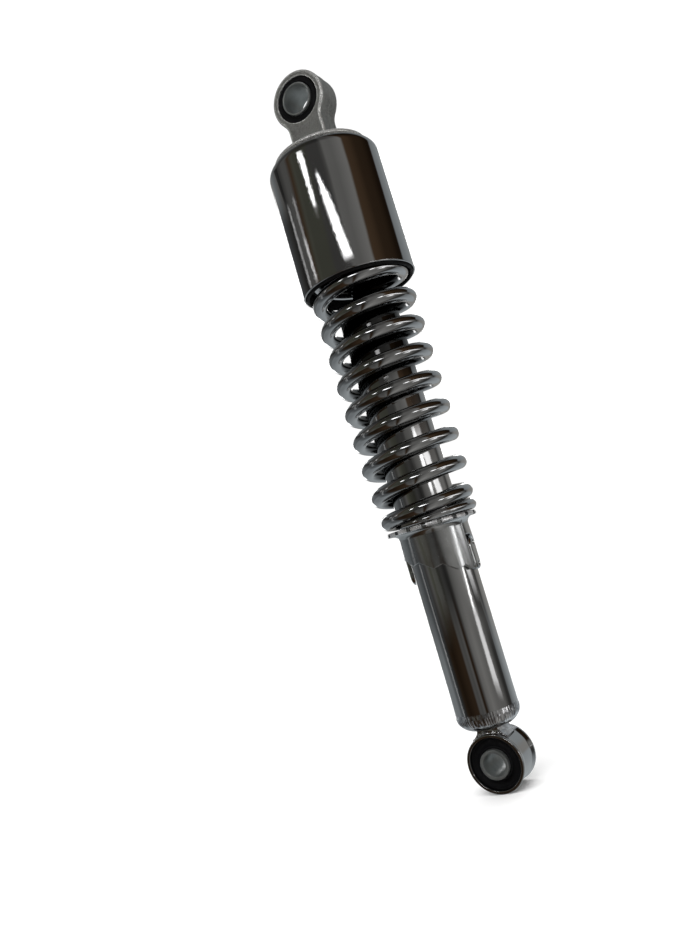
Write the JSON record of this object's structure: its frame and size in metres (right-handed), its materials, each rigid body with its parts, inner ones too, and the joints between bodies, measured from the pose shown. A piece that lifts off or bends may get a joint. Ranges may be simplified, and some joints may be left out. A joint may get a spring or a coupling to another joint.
{
  "type": "motorcycle rear shock absorber",
  "caption": "Chromed twin-shock type rear suspension unit: hydraulic damper, coil spring, stepped preload collar, top cover and a rubber-bushed eye at each end.",
  "frame": {"origin": "centre of the lower eye's bolt hole, half way along its sleeve", "axes": "+Z along the damper to the upper eye; +Y along both bolt holes; +X across, towards one of the two cam lugs"},
  "size_m": [0.0558, 0.0558, 0.3546],
  "materials": {
    "chrome": "mirror-bright chrome plate",
    "satin_chrome": "chrome plate over a drawn surface, slightly satin",
    "cast_aluminium": "bare die casting, finely grained, with polished edges",
    "zinc_steel": "zinc-plated steel, dull grey",
    "plain_steel": "turned or ground steel, oiled",
    "rubber": "black moulded rubber, matt",
    "black_plastic": "black moulded plastic, satin",
    "bronze": "bronze bearing lining"
  },
  "bodies": {
    "damper_body": {"body_tube": "chrome", "bottom_cap": "chrome", "lower_eye_ring": "chrome", "lower_rubber_bush": "rubber", "stop_lug_right": "chrome", "stop_lug_left": "chrome", "inner_cylinder": "plain_steel", "base_valve_body": "plain_steel", "base_valve_shim": "plain_steel", "base_valve_bolt": "plain_steel", "rod_guide": "cast_aluminium", "rod_guide_bush": "bronze", "guide_o_ring": "rubber", "oil_seal": "rubber", "seal_cap": "plain_steel", "rod_wiper": "rubber"},
    "lower_bolt_sleeve": {"lower_sleeve": "zinc_steel"},
    "spring": {"coil_spring": "chrome"},
    "collar": {"preload_collar": "satin_chrome"},
    "spring_carrier": {"upper_spring_seat": "plain_steel"},
    "upper_assembly": {"upper_eye_casting": "cast_aluminium", "upper_rubber_bush": "rubber", "chrome_cover": "chrome", "spring_guide_liner": "black_plastic", "piston_rod": "chrome", "lock_nut": "zinc_steel", "bump_stop_washer": "plain_steel", "bump_stop": "rubber", "rebound_stop": "rubber", "upper_valve_shim": "plain_steel", "piston": "plain_steel", "piston_ring": "black_plastic", "lower_valve_shim": "plain_steel", "piston_nut": "plain_steel"},
    "upper_bolt_sleeve": {"upper_sleeve": "zinc_steel"}
  },
  "joints": [
    {"name": "compression", "type": "slide", "parent": "damper_body", "child": "spring_carrier", "axis": [0, 0, 1], "range_m": [-0.055, 0], "stiffness_N_per_m": 27000, "springref_m": 0.008, "deforming": ["coil_spring"]},
    {"name": "upper_swivel", "type": "hinge", "parent": "spring_carrier", "child": "upper_assembly", "pos_m": [0, 0, 0.2948], "axis": [0, 0, 1], "continuous": true},
    {"name": "upper_sleeve_twist", "type": "hinge", "parent": "upper_assembly", "child": "upper_bolt_sleeve", "pos_m": [0, 0, 0.327], "axis": [0, 1, 0], "range_deg": [-15, 15], "stiffness_Nm_per_rad": 1},
    {"name": "lower_sleeve_twist", "type": "hinge", "parent": "damper_body", "child": "lower_bolt_sleeve", "pos_m": [0, 0, 0], "axis": [0, 1, 0], "range_deg": [-15, 15], "stiffness_Nm_per_rad": 1},
    {"name": "preload_lift", "type": "slide", "parent": "damper_body", "child": "spring", "axis": [0, 0, 1], "range_m": [0, 0.01312]},
    {"name": "collar_turn", "type": "hinge", "parent": "spring", "child": "collar", "pos_m": [0, 0, 0.1102], "axis": [0, 0, 1], "range_deg": [-150.4, 0]}
  ],
  "couplings": [
    {"joint": "collar_turn", "follows": "preload_lift", "rad_per_m": -200.07}
  ]
}
